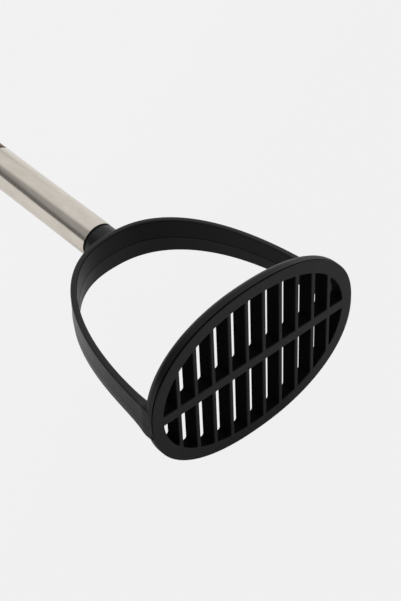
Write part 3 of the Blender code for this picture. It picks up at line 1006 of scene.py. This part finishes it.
def make_camera(matrix):
    """The camera, from its direction and the place in its own picture that it looks at."""
    to_camera = Vector(
        (
            math.sin(CAMERA_AZIMUTH) * math.cos(CAMERA_ELEVATION),
            -math.cos(CAMERA_AZIMUTH) * math.cos(CAMERA_ELEVATION),
            math.sin(CAMERA_ELEVATION),
        )
    )
    level = Vector((math.cos(CAMERA_AZIMUTH), math.sin(CAMERA_AZIMUTH), 0))
    turn = Matrix.Rotation(CAMERA_ROLL, 3, to_camera)
    right = turn @ level
    up = turn @ to_camera.cross(level)
    aim = matrix.translation + right * CAMERA_AIM_ACROSS + up * CAMERA_AIM_UP
    pose = Matrix((right, up, to_camera)).transposed().to_4x4()
    pose.translation = aim + to_camera * CAMERA_DISTANCE
    data = bpy.data.cameras.new("camera")
    data.lens = CAMERA_LENS
    data.clip_start = CAMERA_DISTANCE / CAMERA_CLIP_RATIO
    data.clip_end = CAMERA_DISTANCE * CAMERA_CLIP_RATIO
    camera = bpy.data.objects.new("camera", data)
    camera.matrix_world = pose
    bpy.context.scene.collection.objects.link(camera)
    bpy.context.scene.camera = camera


def add_lobe(tree, direction, way, start, full, strength):
    """One soft light in the sky: a smooth patch round its way, as bright as its strength."""
    toward = vector_node(tree, "DOT_PRODUCT", direction, Vector(way).normalized())
    return spread(
        tree,
        toward.outputs["Value"],
        start,
        full,
        0.0,
        strength,
        interpolation_type="SMOOTHSTEP",
    )


def make_sky():
    """A pale backdrop, and the soft lights that the object sees round it."""
    world = bpy.data.worlds.new("studio")
    bpy.context.scene.world = world
    world.use_nodes = True
    tree = world.node_tree
    tree.nodes.clear()
    direction = add_node(tree, "ShaderNodeTexCoord").outputs["Generated"]
    lobes = [add_lobe(tree, direction, *light) for light in SKY_LIGHTS.values()]
    total = lobes[0]
    for lobe in lobes[1:]:
        total = math_node(tree, "ADD", total, lobe)
    lights = add_node(tree, "ShaderNodeBackground", {"Color": (1, 1, 1, 1), "Strength": total})
    seen = {"Color": (*BACKDROP_COLOR, 1.0), "Strength": 1.0}
    backdrop = add_node(tree, "ShaderNodeBackground", seen)
    rays = add_node(tree, "ShaderNodeLightPath")
    both = add_node(
        tree,
        "ShaderNodeMixShader",
        {
            0: rays.outputs["Is Camera Ray"],
            1: lights.outputs["Background"],
            2: backdrop.outputs["Background"],
        },
    )
    add_node(tree, "ShaderNodeOutputWorld", {"Surface": both.outputs["Shader"]})


def make_floor():
    """A pale floor, far wider than the object. It glows as the backdrop does, so no edge shows."""
    bm = bmesh.new()
    bmesh.ops.create_circle(bm, cap_ends=True, segments=ROUND_STEPS, radius=FLOOR_RADIUS)
    mesh = bpy.data.meshes.new("floor")
    bm.to_mesh(mesh)
    bm.free()
    floor = bpy.data.objects.new("floor", mesh)
    bpy.context.scene.collection.objects.link(floor)
    floor.location.z = -FLOOR_GAP
    material = bpy.data.materials.new("pale_floor")
    material.use_nodes = True
    tree = material.node_tree
    tree.nodes.clear()
    paper = add_node(tree, "ShaderNodeBsdfDiffuse", {"Color": (*FLOOR_ALBEDO, 1.0)})
    place = add_node(tree, "ShaderNodeTexCoord").outputs["Object"]
    along = vector_node(tree, "DOT_PRODUCT", place, FLOOR_FILL_WAY).outputs["Value"]
    strength = spread(tree, along, FLOOR_FILL_START, FLOOR_FILL_FULL, 0.0, FLOOR_FILL)
    fill = add_node(tree, "ShaderNodeEmission", {"Color": (1, 1, 1, 1), "Strength": strength})
    shaders = {0: paper.outputs["BSDF"], 1: fill.outputs["Emission"]}
    lit = add_node(tree, "ShaderNodeAddShader", shaders)
    glow = add_node(tree, "ShaderNodeEmission", {"Color": (*BACKDROP_COLOR, 1.0), "Strength": 1.0})
    rays = add_node(tree, "ShaderNodeLightPath")
    both = add_node(
        tree,
        "ShaderNodeMixShader",
        {
            0: spread(tree, rays.outputs["Is Camera Ray"], 0.0, 1.0, 0.0, FLOOR_GLOW_SEEN),
            1: lit.outputs["Shader"],
            2: glow.outputs["Emission"],
        },
    )
    add_node(tree, "ShaderNodeOutputMaterial", {"Surface": both.outputs["Shader"]})
    mesh.materials.append(material)


def main():
    matrix = masher_matrix()
    make_head(matrix, nylon_material(matrix))
    tube = rounded_ring(TUBE_START, TUBE_END, TUBE_RADIUS - TUBE_WALL, TUBE_RADIUS, TUBE_LIP)
    steel = steel_material(matrix)
    make_ring_piece("brushed_tube", "handle_tube", tube, matrix, steel)
    rubber = rubber_material(matrix)
    make_seal("head_washer", "collar_seal", COLLAR_END + TOUCH_GAP, matrix, rubber)
    make_seal("grip_washer", "grip_seal", TUBE_END + TOUCH_GAP, matrix, rubber)
    make_grip(matrix, wood_material(matrix))
    finish_inner_nodes(matrix)
    make_camera(matrix)
    make_sky()
    make_floor()
    bpy.context.scene.view_settings.view_transform = "Standard"


main()
